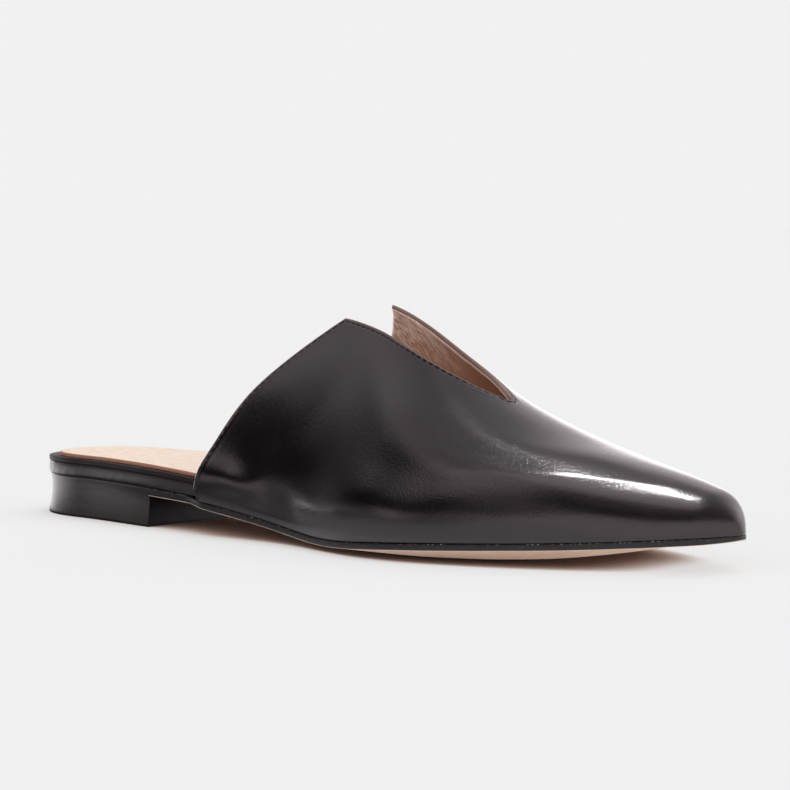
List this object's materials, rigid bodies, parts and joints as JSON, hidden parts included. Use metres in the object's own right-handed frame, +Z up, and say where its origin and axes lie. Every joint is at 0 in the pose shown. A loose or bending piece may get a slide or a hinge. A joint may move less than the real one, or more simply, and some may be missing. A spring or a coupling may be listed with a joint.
{
  "type": "pointed backless mule",
  "caption": "Right pointed-toe flat mule: black leather vamp with a V throat, open back, tan sock lining and low block heel.",
  "frame": {"origin": "on the floor, at the middle of the heel block's flat bottom", "axes": "+X from heel to toe, +Y to the medial (big toe) side, +Z up"},
  "size_m": [0.268, 0.0846, 0.0714],
  "materials": {
    "upper_leather": "semi-gloss smooth leather with a very fine grain",
    "lining_leather": "satin brown-tan lining leather",
    "thread": "dark waxed thread",
    "cover_leather": "satin wrapped leather with fine wrinkles",
    "board_edge": "dark dyed smooth edge",
    "sock_suede": "matt mottled suede",
    "sole_leather": "natural sole leather, lightly burnished",
    "sole_edge": "black waxed edge",
    "heel_lacquer": "satin black lacquer with faint streaks"
  },
  "bodies": {
    "root": {"upper": "upper_leather", "covered_midsole": "cover_leather", "insole_board": "board_edge", "sock_lining": "sock_suede", "outsole": "sole_leather", "heel_block": "heel_lacquer"}
  },
  "joints": []
}
